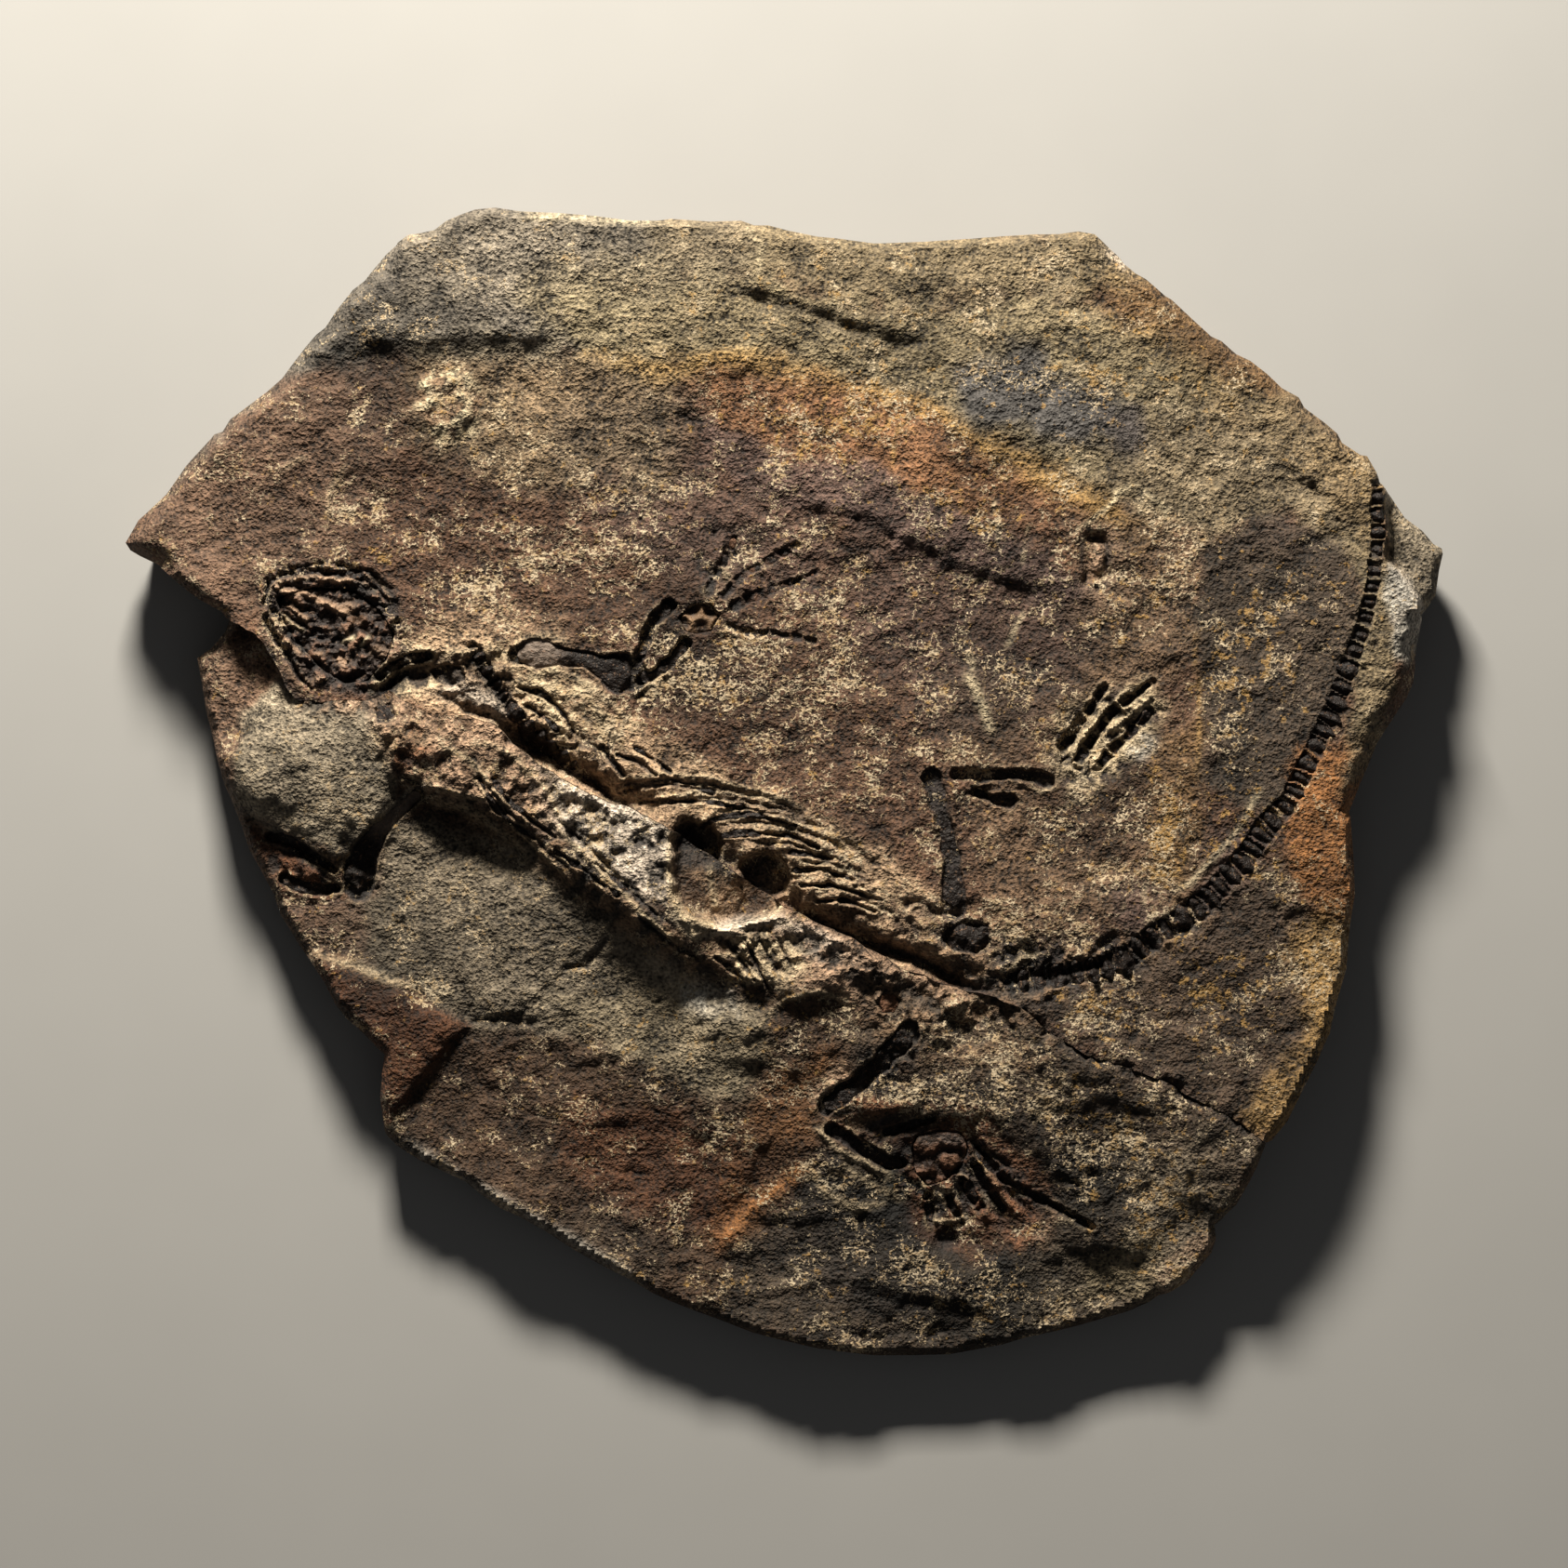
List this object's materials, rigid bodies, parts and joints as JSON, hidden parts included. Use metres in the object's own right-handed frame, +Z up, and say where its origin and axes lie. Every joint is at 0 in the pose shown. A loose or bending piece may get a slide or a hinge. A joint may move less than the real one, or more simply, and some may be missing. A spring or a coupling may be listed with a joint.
{
  "type": "fossil reptile skeleton in its stone slab",
  "caption": "Flattened skeleton of a small long-tailed reptile in a thin slab of split brown stone, lying face up, with a break right across the slab.",
  "frame": {"origin": "centre of the slab's bounding rectangle, on the flat underside", "axes": "+Z up out of the fossil face, +X along the slab's longest side from the snout towards the tail, +Y towards the slab's straight top edge"},
  "size_m": [0.354, 0.308, 0.032],
  "materials": {
    "stone": "rough split mudstone",
    "dark_bone": "dark mineral that replaced the bone",
    "brown_bone": "brown fossil bone"
  },
  "bodies": {
    "root": {"slab_upper": "stone", "slab_lower": "stone", "skull": "dark_bone", "jaw_north": "dark_bone", "jaw_south": "dark_bone", "neck_knob": "dark_bone", "collar_bone": "dark_bone", "shoulder_blade": "dark_bone", "spine_front": "dark_bone", "humerus_north": "dark_bone", "ulna_north": "dark_bone", "radius_north": "dark_bone", "wrist_north": "dark_bone", "finger_north_1": "dark_bone", "finger_north_2": "dark_bone", "finger_north_3": "dark_bone", "finger_north_4": "dark_bone", "rib_north_1": "dark_bone", "rib_north_2": "dark_bone", "rib_north_3": "dark_bone", "rib_north_4": "dark_bone", "rib_north_5": "dark_bone", "rib_north_6": "dark_bone", "rib_north_7": "dark_bone", "rib_north_8": "dark_bone", "rib_north_9": "dark_bone", "rib_north_10": "dark_bone", "rib_north_11": "dark_bone", "rib_north_12": "dark_bone", "rib_north_13": "dark_bone", "pelvis": "dark_bone", "tail": "dark_bone", "femur_north": "dark_bone", "tibia_north": "dark_bone", "fibula_north": "dark_bone", "toe_north_1": "dark_bone", "toe_north_2": "dark_bone", "toe_north_3": "dark_bone", "humerus_south": "dark_bone", "radius_south": "dark_bone", "ulna_south": "dark_bone", "rib_south_1": "dark_bone", "rib_south_2": "dark_bone", "rib_south_3": "dark_bone", "rib_south_4": "dark_bone", "rib_south_5": "dark_bone", "rib_south_6": "dark_bone", "rib_south_7": "dark_bone", "rib_south_8": "dark_bone", "sacrum_knob": "brown_bone", "femur_south": "dark_bone", "tibia_south": "dark_bone", "fibula_south": "dark_bone", "ankle_south": "dark_bone", "toe_south_1": "dark_bone", "toe_south_2": "dark_bone", "toe_south_3": "dark_bone", "toe_south_4": "dark_bone", "toe_south_5": "dark_bone"}
  },
  "joints": []
}
